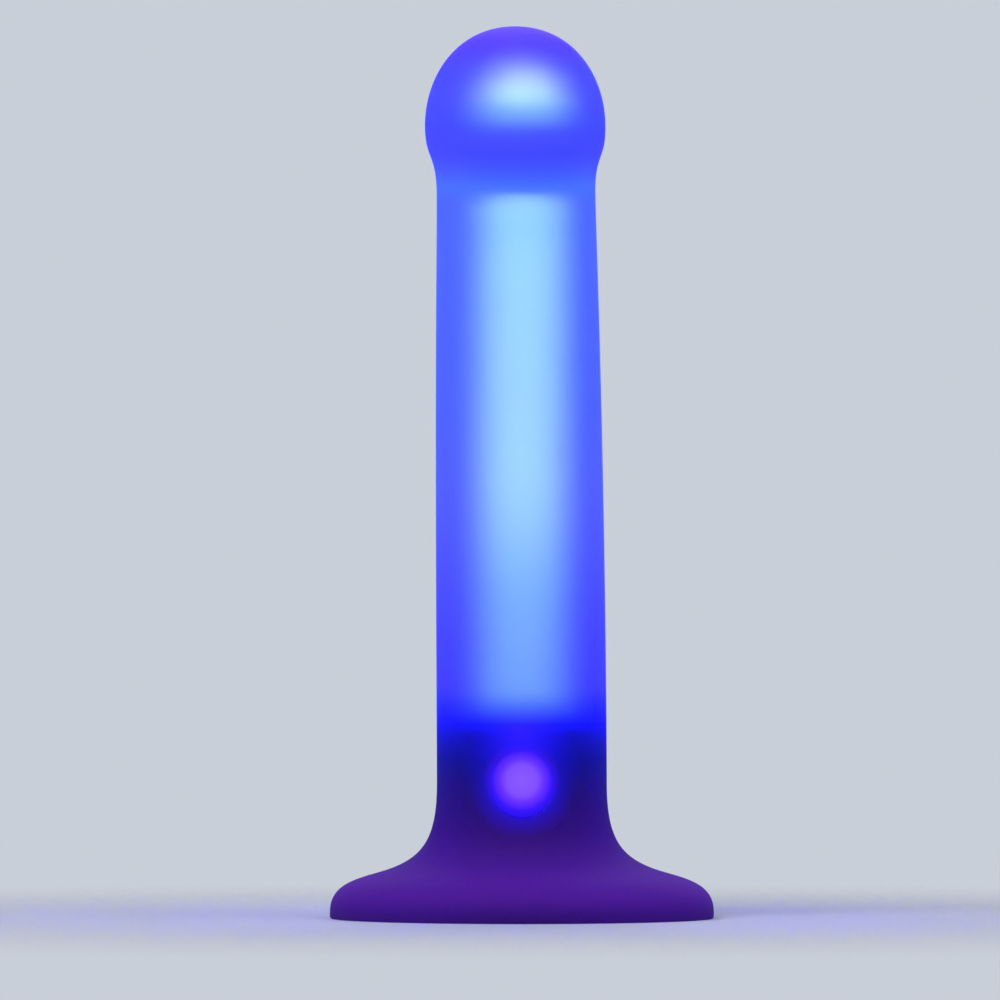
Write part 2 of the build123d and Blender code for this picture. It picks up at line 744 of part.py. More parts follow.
# ---------------------------------------------------------------- motor pod in the neck
def pod_drum():
    """The closed drum that both pod halves are cut from, hollowed for the motor, its weight and the wires."""
    with BuildPart() as drum:
        with BuildSketch(Plane.XY.offset(pod_bottom)):
            Circle(pod_radius)
        extrude(amount=pod_top - pod_bottom)
        with BuildSketch(Plane.XY.offset(spigot_bottom)):
            Circle(tube_bore - slip_gap)
        extrude(amount=spigot_height)
        with BuildSketch(Plane.XY.offset(pod_top)):
            Circle(lens_bore - slip_gap)
            Circle(lens_bore - slip_gap - 1.0, mode=Mode.SUBTRACT)
        extrude(amount=lens_ring_height)
        with BuildSketch(motor_plane(chamber_x)):
            Circle(motor_radius + slip_gap)
        extrude(amount=bush_x + slip_gap - chamber_x, mode=Mode.SUBTRACT)
        with BuildSketch(motor_plane(bush_x)):
            Circle(bush_radius + slip_gap)
        extrude(amount=bush_length + air_gap, mode=Mode.SUBTRACT)
        with BuildSketch(motor_plane(weight_x - air_gap)):
            Circle(chamber_radius)
        extrude(amount=chamber_end - weight_x + air_gap, mode=Mode.SUBTRACT)
        with BuildSketch(Plane.XY.offset(spigot_bottom)):
            Rectangle(strip_width + 2 * slip_gap, strip_thickness + 2 * slip_gap)
        extrude(amount=strip_top + 0.2 - spigot_bottom, mode=Mode.SUBTRACT)
        with BuildSketch(Plane.XY.offset(spigot_bottom)):
            with Locations((chamber_x, -motor_wire_y), (chamber_x, motor_wire_y)):
                Rectangle(3.1, 2 * wire_radius + 1.2, align=(Align.MIN, Align.CENTER))
        extrude(amount=pod_axis_z - spigot_bottom, mode=Mode.SUBTRACT)
        with BuildSketch(Plane.XY.offset(spigot_bottom)):
            with Locations((socket_x, head_wire_y)):
                Circle(wire_radius + 0.15)
        extrude(amount=pod_top + lens_ring_height - spigot_bottom, mode=Mode.SUBTRACT)
        with BuildSketch(Plane.XY.offset(pod_top - screw_seat)):
            with Locations((0, -pod_screw_y), (0, pod_screw_y)):
                Circle(screw_head_radius + slip_gap)
        extrude(amount=screw_seat + lens_ring_height, mode=Mode.SUBTRACT)
        with BuildSketch(Plane.XY.offset(pod_top - screw_seat)):
            with Locations((0, -pod_screw_y), (0, pod_screw_y)):
                Circle(screw_radius + pilot_gap)
        extrude(amount=-pod_screw_length - screw_end_room, mode=Mode.SUBTRACT)
    return drum.part


def make_pod():
    drum = pod_drum()
    parting = Plane.XY.offset(pod_axis_z)
    with BuildPart() as lower:
        add(drum)
        split(bisect_by=parting, keep=Keep.BOTTOM)
    save(lower.part, "motor_pod_lower")
    with BuildPart() as upper:
        add(drum)
        split(bisect_by=parting, keep=Keep.TOP)
    save(upper.part, "motor_pod_upper")


# ---------------------------------------------------------------- vibration motor
def make_motor():
    with BuildPart() as can:
        with BuildSketch(motor_plane(can_x)):
            Circle(motor_radius)
        extrude(amount=motor_can_length)
        fillet(can.edges().filter_by(GeomType.CIRCLE).sort_by(Axis.X)[-1], 0.6)
        with BuildSketch(motor_plane(can_x)):
            Circle(shaft_radius + touch_gap)
        extrude(amount=motor_can_length, mode=Mode.SUBTRACT)
    save(can.part, "motor_can")

    with BuildPart() as end_cap:
        with BuildSketch(motor_plane(end_cap_x)):
            Circle(motor_radius - 0.1)
            Circle(shaft_radius + touch_gap, mode=Mode.SUBTRACT)
        extrude(amount=end_cap_length)
    save(end_cap.part, "motor_end_cap")

    with BuildPart() as terminals:
        with BuildSketch(motor_plane(terminal_x)):
            with Locations((-motor_wire_y, terminal_z), (motor_wire_y, terminal_z)):
                Rectangle(0.8, terminal_size)
        extrude(amount=terminal_length)
    save(terminals.part, "motor_terminals")

    with BuildPart() as bush:
        with BuildSketch(motor_plane(bush_x)):
            Circle(bush_radius)
            Circle(shaft_radius + pilot_gap, mode=Mode.SUBTRACT)
        extrude(amount=bush_length)
    save(bush.part, "motor_bush")

    shaft_start = end_cap_x + 0.3
    with BuildPart() as shaft:
        with BuildSketch(motor_plane(shaft_start)):
            Circle(shaft_radius)
        extrude(amount=motor_length / 2 - shaft_start)
        chamfer(shaft.edges().filter_by(GeomType.CIRCLE), 0.1)
    save(shaft.part, "motor_shaft")

    with BuildPart() as weight:
        with BuildSketch(motor_plane(weight_x)):
            Circle(weight_radius)
            Rectangle(
                2 * weight_radius,
                2 * weight_radius,
                align=(Align.CENTER, Align.MIN),
                mode=Mode.SUBTRACT,
            )
            Circle(1.7)
            Circle(shaft_radius, mode=Mode.SUBTRACT)
        extrude(amount=weight_length)
    save(weight.part, "eccentric_weight")


# ---------------------------------------------------------------- wires from the strip to motor and head
def wire(points, radii):
    """A round wire along straight runs and tangent arcs."""
    start = Vector(*points[0])
    with BuildPart() as one:
        with BuildLine() as route:
            FilletPolyline(*points, radius=radii)
        with BuildSketch(Plane(origin=start, z_dir=Vector(*points[1]) - start)):
            Circle(wire_radius)
        sweep(path=route.line)
    return one.part


def make_wires():
    knee_z = socket_top + 2.0
    turn_z = spigot_bottom - 1.2
    slot_x = chamber_x + 1.8
    terminal_foot = pod_axis_z + terminal_z - terminal_size / 2
    motor_wire = wire(
        [
            (-socket_x, -wire_y, socket_top),
            (-socket_x, -wire_y, knee_z),
            (slot_x, -motor_wire_y, turn_z),
            (slot_x, -motor_wire_y, pod_bottom + 0.4),
            (motor_wire_x, -motor_wire_y, pod_axis_z - motor_radius + 0.1),
            (motor_wire_x, -motor_wire_y, terminal_foot),
        ],
        (1.6, 1.6, 1.4, 1.4),
    )
    with BuildPart() as motor_wires:
        add(motor_wire)
        mirror(about=Plane.XZ)
    save(motor_wires.part, "motor_wires")

    head_wire = wire(
        [
            (socket_x, wire_y, socket_top),
            (socket_x, wire_y, knee_z),
            (socket_x, head_wire_y, turn_z),
            (socket_x, head_wire_y, pod_top + touch_gap),
        ],
        (1.6, 1.6),
    )
    save(head_wire, "head_wire")


# ---------------------------------------------------------------- head light
def make_head_light():
    with BuildPart() as lens:
        with BuildSketch(Plane.XZ):
            with BuildLine():
                Bezier(*dome(lens_radius, pod_top, lens_height))
                Line((lens_radius, pod_top), (lens_bore, pod_top))
                Bezier(*reversed(dome(lens_bore, pod_top, lens_height - lens_wall)))
                Line((0, lens_top - lens_wall), (0, lens_top))
            make_face()
        revolve(axis=Axis.Z)
    save(lens.part, "head_lens")

    board_z = pod_top + touch_gap
    ring_bore = lens_bore - slip_gap - 1.0
    with BuildPart() as board:
        with BuildSketch(Plane.XY.offset(board_z)):
            Circle(min(head_board_radius, ring_bore - 0.2))
            with Locations((socket_x, head_wire_y - 0.6)):
                Circle(1.6)
            Circle(ring_bore, mode=Mode.INTERSECT)
            with Locations((0, -pod_screw_y), (0, pod_screw_y)):
                Circle(screw_head_radius + 0.3, mode=Mode.SUBTRACT)
        extrude(amount=head_board_thickness)
    save(board.part, "head_led_board")

    face = board_z + head_board_thickness
    with BuildPart() as leds:
        with BuildSketch(Plane.XY.offset(face)):
            Rectangle(3.5, 2.8)
        extrude(amount=0.8)
        with BuildSketch(Plane.XY.offset(face)):
            with PolarLocations(0.7 * head_board_radius, 4):
                Rectangle(1.6, 1.6)
        extrude(amount=0.7)
    save(leds.part, "head_leds")


make_sleeve()
make_button_pad()
make_button_plunger()
make_tact_switch()
make_housing()
make_screws()
make_base_cap()
make_power()
make_control_board()
make_column()
make_pod()
make_motor()
make_wires()
make_head_light()
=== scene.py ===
import math

import bpy
from mathutils import Matrix, Vector


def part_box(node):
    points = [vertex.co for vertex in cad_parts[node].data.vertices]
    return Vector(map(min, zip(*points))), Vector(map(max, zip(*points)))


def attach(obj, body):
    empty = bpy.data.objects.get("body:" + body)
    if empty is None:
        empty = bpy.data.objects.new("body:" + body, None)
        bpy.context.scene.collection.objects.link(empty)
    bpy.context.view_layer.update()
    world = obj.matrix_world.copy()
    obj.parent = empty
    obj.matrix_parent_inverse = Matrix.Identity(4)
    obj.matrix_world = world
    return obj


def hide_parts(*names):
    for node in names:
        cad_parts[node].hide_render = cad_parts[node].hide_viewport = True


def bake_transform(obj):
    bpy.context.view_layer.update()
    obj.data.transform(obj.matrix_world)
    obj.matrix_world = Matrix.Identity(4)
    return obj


# Light-up silicone massager: the looks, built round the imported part. The camera and studio come first, then
# each piece from the outside in. Lengths are in metres, in the part's own frame: +Z up, -Y the front, with
# the button.
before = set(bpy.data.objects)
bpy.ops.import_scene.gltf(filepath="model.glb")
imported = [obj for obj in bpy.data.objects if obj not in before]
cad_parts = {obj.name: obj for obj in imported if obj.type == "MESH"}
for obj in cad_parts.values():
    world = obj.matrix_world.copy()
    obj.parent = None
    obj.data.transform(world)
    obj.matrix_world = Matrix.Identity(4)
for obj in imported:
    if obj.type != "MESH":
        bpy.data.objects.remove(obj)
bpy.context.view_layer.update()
mm = 0.001

# ---------------------------------------------------------------- camera
# A long lens a few metres off, level with the middle of the body, so that the sides of the shaft stay
# parallel and the foot's rim is seen almost edge-on. The body stands a little to the right of the middle.
view_width = 224.2 * mm
aim = Vector((-4.9 * mm, 0, 93.8 * mm))
camera_data = bpy.data.cameras.new("camera")
camera_data.sensor_width = 36
camera_data.lens = 500
camera_data.clip_end = 40
camera = bpy.data.objects.new("camera", camera_data)
camera.location = aim - Vector((0, view_width * camera_data.lens / camera_data.sensor_width, 0))
camera.rotation_euler = (math.radians(90), 0, 0)
bpy.context.scene.collection.objects.link(camera)
bpy.context.scene.camera = camera
bpy.context.scene.view_settings.view_transform = "Standard"

# ---------------------------------------------------------------- studio
# A plain pale floor that runs on to a pale surround, and three large soft lamps: the strongest high on the
# left, a weak one on the right and one behind. All are dim, so that the body's own light stands out.
surround = "#C9CFD8"
ambient = 0.2


def linear(colour):
    """The linear red, green and blue of an sRGB hex colour, with an alpha of 1."""
    channels = [int(colour[i : i + 2], 16) / 255 for i in (1, 3, 5)]
    return [c / 12.92 if c <= 0.04045 else ((c + 0.055) / 1.055) ** 2.4 for c in channels] + [1.0]


def add(tree, kind, settings=None, links=None):
    """Adds a node, sets its properties or its sockets' values by name, and links sources to its sockets."""
    made = tree.nodes.new(kind)
    for name, value in (settings or {}).items():
        if isinstance(name, str) and hasattr(made, name):
            setattr(made, name, value)
        else:
            made.inputs[name].default_value = value
    for name, source in (links or {}).items():
        tree.links.new(source, made.inputs[name])
    return made


def material(name):
    """A new material, its empty node tree and, from a first node in it, the piece's own coordinates."""
    made = bpy.data.materials.new(name)
    made.use_nodes = True
    made.node_tree.nodes.clear()
    return made, made.node_tree, add(made.node_tree, "ShaderNodeTexCoord").outputs["Object"]


world = bpy.data.worlds.new("surround")
bpy.context.scene.world = world
world.use_nodes = True
tree = world.node_tree
tree.nodes.clear()
path = add(tree, "ShaderNodeLightPath")
strength = {"To Min": ambient, "To Max": 1.0}
seen = add(tree, "ShaderNodeMapRange", strength, {"Value": path.outputs["Is Camera Ray"]})
sky = add(tree, "ShaderNodeBackground", {"Color": linear(surround)}, {"Strength": seen.outputs[0]})
add(tree, "ShaderNodeOutputWorld", links={"Surface": sky.outputs[0]})

floor_mesh = bpy.data.meshes.new("floor")
floor_reach = 14.0
corners = [(floor_reach * x, floor_reach * y, 0) for x, y in ((-1, -1), (1, -1), (1, 1), (-1, 1))]
floor_mesh.from_pydata(corners, [], [(0, 1, 2, 3)])
floor = bpy.data.objects.new("floor", floor_mesh)
bpy.context.scene.collection.objects.link(floor)

# Matt background paper, which a little way off fades into the surround's own colour.
fade_start = 0.05
fade_end = 0.3
paper, tree, where = material("studio_floor")
away = add(tree, "ShaderNodeVectorMath", {"operation": "LENGTH"}, {0: where})
fade = add(
    tree,
    "ShaderNodeMapRange",
    {"interpolation_type": "SMOOTHSTEP", "From Min": fade_start, "From Max": fade_end},
    {"Value": away.outputs["Value"]},
)
paper_look = {"Base Color": linear("#E8EBF2"), "Roughness": 0.9, "Specular IOR Level": 0.0}
matt = add(tree, "ShaderNodeBsdfPrincipled", paper_look)
even = add(tree, "ShaderNodeEmission", {"Color": linear(surround), "Strength": 1.0})
floor_mix = add(
    tree, "ShaderNodeMixShader", links={"Fac": fade.outputs[0], 1: matt.outputs[0], 2: even.outputs[0]}
)
add(tree, "ShaderNodeOutputMaterial", links={"Surface": floor_mix.outputs[0]})
floor_mesh.materials.append(paper)

lamp_size = 0.9
for name, place, power in (
    ("key_lamp", Vector((-0.7, -0.9, 1.1)), 9.0),
    ("fill_lamp", Vector((0.9, -0.5, 0.7)), 2.5),
    ("back_lamp", Vector((0.1, 1.0, 0.9)), 4.0),
):
    lamp = bpy.data.lights.new(name, "AREA")
    lamp.size = lamp_size
    lamp.energy = power
    holder = bpy.data.objects.new(name, lamp)
    holder.location = place
    holder.rotation_euler = (aim - place).to_track_quat("-Z", "Y").to_euler()
    bpy.context.scene.collection.objects.link(holder)

# ---------------------------------------------------------------- sleeve
# One soft moulding of translucent violet silicone, pulled over the hard core like a sock and held by the
# cap. It leans a millimetre and a half to the left of the straight core as it goes up, as a soft moulding
# does, and has a faint parting line down each side from its two-part mould.
sleeve_low, sleeve_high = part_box("sleeve")
top = sleeve_high.z
foot_radius = (sleeve_high.x - sleeve_low.x) / 2
root_radius = 19.0 * mm
neck_radius = 17.75 * mm
head_radius = 20.2 * mm
head_z = top - 22.4 * mm
neck_z = head_z - 15.0 * mm
flare_z = 30.5 * mm
turn_radius = foot_radius - 13.0 * mm
turn_z = 11.0 * mm
rim_z = 1.5 * mm
edge = 0.6 * mm
lean = 1.5 * mm
lean_curl = 1.3
neck_tilt = 1.2 * mm
tilt_rise = 7.0 * mm
tilt_reach = 16.0 * mm
seam_rise = 0.05 * mm
around = 192
clear = 0.1 * mm

# How far the control points of the outline's curves stand off its corners.
circle_pull = 0.5523
crown_rise = 0.5
crown_spread = 0.65
head_pull = 7.5 * mm
neck_pull = 9.0 * mm
shaft_pull = 8.0 * mm
taper_share = 0.64
root_share = 0.59
flare_out = 3.0 * mm
flare_pull_z = 13.8 * mm
turn_out = 5.46 * mm
turn_drop = 1.91 * mm
rim_pull_z = 8.5 * mm
edge_share = 0.3

# The hollow follows the hard core inside it, a clearance away.
front_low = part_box("housing_front")[0]
rear_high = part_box("housing_rear")[1]
cap_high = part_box("base_cap")[1]
tube_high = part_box("light_tube")[1]
pod_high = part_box("motor_pod_upper")[1]
lens_low, lens_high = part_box("head_lens")
button_low, button_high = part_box("button_pad")
button_z = (button_low.z + button_high.z) / 2
tube_foot_reach = 1.4 * mm
cap_lip = 1.6 * mm
cap_room = cap_high.x + clear
housing_room = rear_high.x + clear
tube_room = tube_high.x - tube_foot_reach + clear
pod_room = pod_high.x + clear
lens_room = lens_high.x + clear
shoulder = cap_high.z - cap_lip + clear
pocket_radius = 7.8 * mm
pocket_depth = -front_low.y + clear


def curve(a, b, c, d, steps):
    """Points along a cubic curve of these four control points, without its last point."""
    points = []
    for i in range(steps):
        t = i / steps
        u = 1 - t
        weights = (u**3, 3 * u * u * t, 3 * u * t * t, t**3)
        points.append(tuple(sum(w * p[k] for w, p in zip(weights, (a, b, c, d))) for k in (0, 1)))
    return points


def straight(a, b, steps=1):
    """Points along a straight line, without its last point."""
    return [tuple(a[k] + (b[k] - a[k]) * i / steps for k in (0, 1)) for i in range(steps)]


def dome_down(radius, base, peak, steps, rise=circle_pull, spread=circle_pull):
    """A quarter dome from its top down to its rim."""
    height = peak - base
    return curve((0, peak), (spread * radius, peak), (radius, base + rise * height), (radius, base), steps)


def bow(z):
    """How far the outside of the sleeve stands to the left of the core at this height."""
    share = min(max((z - flare_z) / (head_z - flare_z), 0), 1)
    return -lean * share**lean_curl


def tilt(z):
    """How much the ring at this height dips at the front, which is most where the head meets the neck."""
    share = max(0, 1 - abs(z - neck_z - tilt_rise) / tilt_reach)
    return neck_tilt * share * share * (3 - 2 * share)


outer = dome_down(head_radius, head_z, top, 36, rise=crown_rise, spread=crown_spread)[1:]
outer += curve(
    (head_radius, head_z),
    (head_radius, head_z - head_pull),
    (neck_radius, neck_z + neck_pull),
    (neck_radius, neck_z),
    20,
)
outer += curve(
    (neck_radius, neck_z),
    (neck_radius, neck_z - shaft_pull),
    (root_radius, flare_z + taper_share * (neck_z - flare_z)),
    (root_radius, flare_z),
    90,
)
outer += curve(
    (root_radius, flare_z),
    (root_radius, root_share * flare_z),
    (root_radius + flare_out, flare_pull_z),
    (turn_radius, turn_z),
    24,
)
outer += curve(
    (turn_radius, turn_z),
    (turn_radius + turn_out, turn_z - turn_drop),
    (foot_radius, rim_pull_z),
    (foot_radius, rim_z),
    24,
)
outer += straight((foot_radius, rim_z), (foot_radius, edge), 2)
outer += curve(
    (foot_radius, edge),
    (foot_radius, edge_share * edge),
    (foot_radius - edge_share * edge, 0),
    (foot_radius - edge, 0),
    5,
)

inner = straight((foot_radius - edge, 0), (cap_room, 0), 12)
inner += straight((cap_room, 0), (cap_room, shoulder))
inner += straight((cap_room, shoulder), (housing_room, shoulder))
inner += straight((housing_room, shoulder), (housing_room, rear_high.z + clear), 60)
inner += straight((housing_room, rear_high.z + clear), (tube_room, rear_high.z + clear), 2)
inner += straight((tube_room, rear_high.z + clear), (tube_room, tube_high.z), 20)
inner += straight((tube_room, tube_high.z), (pod_room, tube_high.z))
inner += straight((pod_room, tube_high.z), (pod_room, lens_low.z + clear), 4)
inner += straight((pod_room, lens_low.z + clear), (lens_room, lens_low.z + clear))
ceiling = lens_high.z + clear
inner += [(lens_room, lens_low.z + clear)] + dome_down(lens_room, lens_low.z + clear, ceiling, 20)[:0:-1]

verts = [(bow(top), 0, top)]
for r, z in outer:
    for i in range(around):
        angle = 2 * math.pi * i / around
        ridge = seam_rise if i % (around // 2) == around // 4 else 0
        dip = tilt(z) * math.cos(angle)
        verts.append(((r + ridge) * math.sin(angle) + bow(z), -r * math.cos(angle), z - dip))
for r, z in inner:
    for i in range(around):
        angle = 2 * math.pi * i / around
        x, y = r * math.sin(angle), -r * math.cos(angle)
        if y < 0 and r > tube_room and math.hypot(x, z - button_z) < pocket_radius:
            y = -pocket_depth
        verts.append((x, y, z))
verts.append((0, 0, ceiling))
rings = len(outer) + len(inner)
faces = [(0, 1 + i, 1 + (i + 1) % around) for i in range(around)]
for k in range(rings - 1):
    for i in range(around):
        j = (i + 1) % around
        a = 1 + k * around
        faces.append((a + i, a + around + i, a + around + j, a + j))
last = 1 + (rings - 1) * around
faces += [(last + i, len(verts) - 1, last + (i + 1) % around) for i in range(around)]
skin_mesh = bpy.data.meshes.new("silicone_sleeve")
skin_mesh.from_pydata(verts, [], faces)
skin_mesh.shade_smooth()
skin = bpy.data.objects.new("silicone_sleeve", skin_mesh)
bpy.context.scene.collection.objects.link(skin)


def surface(tree, settings, links):
    """The tree's one shader, with these values and links, joined to its output."""
    body = add(tree, "ShaderNodeBsdfPrincipled", settings, links)
    add(tree, "ShaderNodeOutputMaterial", links={"Surface": body.outputs[0]})
    return body


def ramp(tree, source, stops):
    """A colour ramp from pairs of a place from 0 to 1 and a colour."""
    made = add(tree, "ShaderNodeValToRGB", links={"Fac": source})
    for place, colour in stops[1:-1]:
        made.color_ramp.elements.new(place).color = linear(colour)
    for end in (0, -1):
        made.color_ramp.elements[end].position = stops[end][0]
        made.color_ramp.elements[end].color = linear(stops[end][1])
    return made.outputs["Color"]


def height_ramp(tree, where, stops):
    """A colour ramp over the body's height, from pairs of a height in millimetres and a colour."""
    axes = add(tree, "ShaderNodeSeparateXYZ", links={0: where})
    height = add(tree, "ShaderNodeMapRange", {"From Max": top}, {"Value": axes.outputs["Z"]})
    return ramp(tree, height.outputs[0], [(z * mm / top, colour) for z, colour in stops])


# Translucent silicone: clear enough in the shaft and head to show the lights inside as a soft glow, and
# dark violet in the foot. A faint glow painted on it stands in for light spreading through the rubber: a
# painted violet spot over the button, and above it a painted blue one where the light column's end meets
# the button's light. Its base colour is partly painted light and shade too.
clarity = 0.85
painted_spot_reach = 20.0 * mm
column_end = rear_high.z - 2.0 * mm


def make_silicone(name, glow):
    """The sleeve's silicone, with a faint painted glow at this strength."""
    made, tree, where = material(name)
    # Base colour over the height: violet in the foot, darkening up the flare. Above that it is painted shade
    # and light: near black in a band just below the light tube's foot, where the lights inside don't reach,
    # and a lighter blue up the lit shaft and head.
    pigment_with_painted_light_and_shade = height_ramp(
        tree,
        where,
        [
            (0, "#5E1CB0"),
            (12, "#5818B0"),
            (24, "#3A06A0"),
            (36, "#060470"),
            (43.8, "#080890"),
            (51, "#5A58F0"),
            (177, "#5A58F0"),
            (180, "#5C60F0"),
            (183, "#6C6EF2"),
            (190, "#6C6CF2"),
            (194, "#6452F0"),
            (200, "#603CF0"),
        ],
    )
    # Painted glow over the height, for light spread through the rubber: dim violet in the foot, brightest
    # round the top of its rim as a painted highlight, deep blue where the light column starts, and a brighter
    # blue up the shaft to a violet crown.
    spread = height_ramp(
        tree,
        where,
        [
            (0, "#10002C"),
            (2, "#1C0048"),
            (5.5, "#3C0C70"),
            (9, "#400E74"),
            (13, "#300A60"),
            (20, "#200050"),
            (28, "#12004C"),
            (35, "#020068"),
            (41, "#000290"),
            (44, "#0402B0"),
            (47, "#0404D0"),
            (49.5, "#1410DC"),
            (52, "#221CE2"),
            (62, "#2622E2"),
            (95, "#3340E8"),
            (116, "#2C44E8"),
            (160, "#2C4CE8"),
            (164, "#2C5AE8"),
            (166.5, "#2C48E8"),
            (171, "#2028E8"),
            (179, "#1C28E8"),
            (183, "#1410E4"),
            (190, "#140CE4"),
            (196, "#3420EC"),
            (200, "#5440F0"),
        ],
    )
    painted_glow = spread
    # Two painted glow spots, each fading out from a point on the front of the shaft: violet over the button,
    # for its LEDs' light, and blue where the light column ends.
    for height, stops in (
        (
            button_z + 1.0 * mm,
            [
                (0, "#8A5CFC"),
                (3.4, "#8050FC"),
                (4.8, "#6630FA"),
                (6.8, "#3008CC"),
                (9.0, "#0C0398"),
                (13, "#020050"),
                (20, "#000000"),
            ],
        ),
        (column_end, [(0, "#2814E0"), (4, "#1C0CD4"), (8, "#0A04B8"), (12, "#020090"), (20, "#000030")]),
    ):
        place = (0, -root_radius, height)
        distance = add(tree, "ShaderNodeVectorMath", {"operation": "DISTANCE", 1: place}, {0: where})
        reach = {"From Max": painted_spot_reach}
        share = add(tree, "ShaderNodeMapRange", reach, {"Value": distance.outputs["Value"]})
        painted_spot = ramp(tree, share.outputs[0], [(r * mm / painted_spot_reach, colour) for r, colour in stops])
        lighter = {"data_type": "RGBA", "blend_type": "LIGHTEN", 0: 1.0}
        painted_glow = add(tree, "ShaderNodeMix", lighter, {6: painted_glow, 7: painted_spot}).outputs[2]
    settings = {
        "Roughness": 0.9,
        "IOR": 1.41,
        "Specular IOR Level": 0.1,
        "Transmission Weight": clarity,
        "Emission Strength": glow,
    }
    surface(tree, settings, {"Base Color": pigment_with_painted_light_and_shade, "Emission Color": painted_glow})
    return made


skin_mesh.materials.append(make_silicone("translucent_violet_silicone_painted_glow", 1.0))
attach(skin, "core")
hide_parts("sleeve")

# ---------------------------------------------------------------- button pad
# The soft raised spot over the button, moulded in one with the sleeve: a shallow swelling whose edge runs
# out into the shaft. It sinks with the plunger behind it, and here is a lens of the same silicone lying on
# the sleeve.
pad_radius = 7.5 * mm
pad_rise = -button_low.y - root_radius
pad_gap = 0.02 * mm
pad_rings = 16
pad_around = 64


def skin_radius(z):
    """The sleeve's outer radius at this height."""
    for (r, high), (s, low) in zip(outer, outer[1:]):
        if high >= z >= low:
            return s + (r - s) * (z - low) / max(high - low, 1e-9)


def pad_point(ring, turn, lift):
    """A point on the pad's outer face where lift is 1, or on its inner face where lift is 0."""
    r = pad_radius * ring / pad_rings
    angle = 2 * math.pi * turn / pad_around
    x, z = r * math.cos(angle), button_z + r * math.sin(angle)
    rise = pad_rise * (1 - (ring / pad_rings) ** 2) ** 2 * lift + pad_gap
    return x, -math.sqrt(skin_radius(z) ** 2 - (x - bow(z)) ** 2) - rise, z


verts = [pad_point(0, 0, 1)]
verts += [pad_point(ring, turn, 1) for ring in range(1, pad_rings + 1) for turn in range(pad_around)]
verts += [pad_point(ring, turn, 0) for ring in range(pad_rings - 1, 0, -1) for turn in range(pad_around)]
verts.append(pad_point(0, 0, 0))
faces = [(0, 1 + i, 1 + (i + 1) % pad_around) for i in range(pad_around)]
pad_loops = 2 * pad_rings - 1
for k in range(pad_loops - 1):
    for i in range(pad_around):
        j = (i + 1) % pad_around
        a = 1 + k * pad_around
        faces.append((a + i, a + pad_around + i, a + pad_around + j, a + j))
last = 1 + (pad_loops - 1) * pad_around
faces += [(last + i, len(verts) - 1, last + (i + 1) % pad_around) for i in range(pad_around)]
pad_mesh = bpy.data.meshes.new("button_swelling")
pad_mesh.from_pydata(verts, [], faces)
pad_mesh.shade_smooth()
pad = bpy.data.objects.new("button_swelling", pad_mesh)
bpy.context.scene.collection.objects.link(pad)
# The same silicone, with its painted glow a little weaker.
pad_mesh.materials.append(make_silicone("silicone_over_button_with_painted_glow", 0.9))
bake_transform(pad)
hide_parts("button_pad")

# ---------------------------------------------------------------- light tube
# An extruded tube of frosted acrylic that evens out the light of the strip inside it. It is brightest along
# the middle of the shaft and dims to blue towards its foot, where fewer LEDs shine on it.


def finish(node, shader):
    """Gives a carried-over piece of the part this material."""
    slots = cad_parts[node].data.materials
    slots.clear()
    slots.append(shader)


def make_lit(name, strength, stops):
    """Frosted plastic that glows by these colours over its height; on the motor pod the glow is painted."""
    made, tree, where = material(name)
    glow = height_ramp(tree, where, stops)
    settings = {"Base Color": linear("#E6F4FF"), "Roughness": 0.6, "Emission Strength": strength}
    surface(tree, settings, {"Emission Color": glow})
    return made


# Extruded acrylic with a blasted face: it hides the LEDs behind an even glow. Its strength is far above a
# real tube's, to make up for what the rough silicone loses, and so is the lens's.
tube_glow = [(44, "#5896FF"), (50, "#6AACFF"), (60, "#72B4FF"), (72, "#76BCFF"), (81, "#87CCFF")]
tube_glow += [(90, "#9ADCFF"), (100, "#A4E5FF"), (148, "#A0E4FF"), (156, "#94DCFF"), (160, "#A4E4FF")]
tube_glow += [(163, "#84C0F4")]
finish("light_tube", make_lit("lit_frosted_tube", 19.5, tube_glow))

# ---------------------------------------------------------------- head lens
# A thin moulded dome of frosted acrylic over the head's own LEDs. Its crown is bright and its skirt, which
# the board's edge shades, is a dim blue.

# Moulded acrylic with the same blasted face, lit from close below and so nearly white.
lens_glow = [(177, "#5080E0"), (180, "#6CA2FF"), (183, "#A4E0FF"), (185, "#D4FFFF"), (191, "#D4FFFF")]
finish("head_lens", make_lit("lit_frosted_lens", 42.0, lens_glow))

# ---------------------------------------------------------------- motor pod
# A two-part shell for the motor, injection moulded in milky ABS and held shut by two screws. It blocks most
# of the light; a dim blue glow is painted on its wall, brightest at the top, for the little of the head's
# light that it passes downwards.

# Moulded milky ABS under a painted glow: it reads as a dim band of painted light between the two lights.
pod_painted_glow = [(162, "#2410C0"), (166, "#3C20D0"), (169, "#5A50E8"), (172, "#8490FF"), (177, "#A4BCFF")]
milky_abs = make_lit("milky_abs", 2.0, pod_painted_glow)
finish("motor_pod_lower", milky_abs)
finish("motor_pod_upper", milky_abs)

# ---------------------------------------------------------------- control housing
# A two-part shell, injection moulded in black ABS with a fine eroded grain, held shut by screws. The turret
# on its front half carries the button up under the silicone.

# The grain of an eroded mould, 4000 to the metre, or one every quarter of a millimetre. The real grain is
# finer than that, and would not show.
grain_scale = 4000.0
grain_depth = 0.02 * mm


